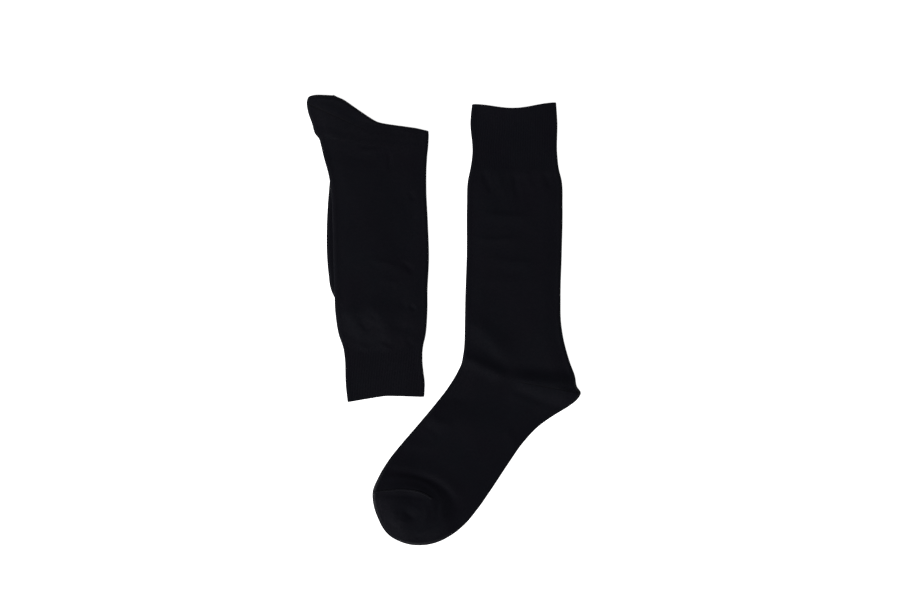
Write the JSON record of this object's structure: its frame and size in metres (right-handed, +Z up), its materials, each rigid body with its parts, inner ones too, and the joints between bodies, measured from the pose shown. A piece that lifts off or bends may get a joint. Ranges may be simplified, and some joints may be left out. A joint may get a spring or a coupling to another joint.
{
  "type": "pair of dress socks",
  "caption": "Plain fine-knit dress socks lying flat side by side: the right one spread in side view, the left one with its foot folded under its leg.",
  "frame": {"origin": "middle of the pair's bounding box, on the surface that the socks lie on", "axes": "+Z up off the surface, +Y from the spread sock's toe towards its mouth, +X from the folded sock to the spread one"},
  "size_m": [0.279, 0.4587, 0.0096],
  "materials": {
    "knit": "matt fine knit, near black"
  },
  "bodies": {
    "root": {"sock_spread": "knit", "sock_folded": "knit"}
  },
  "joints": []
}
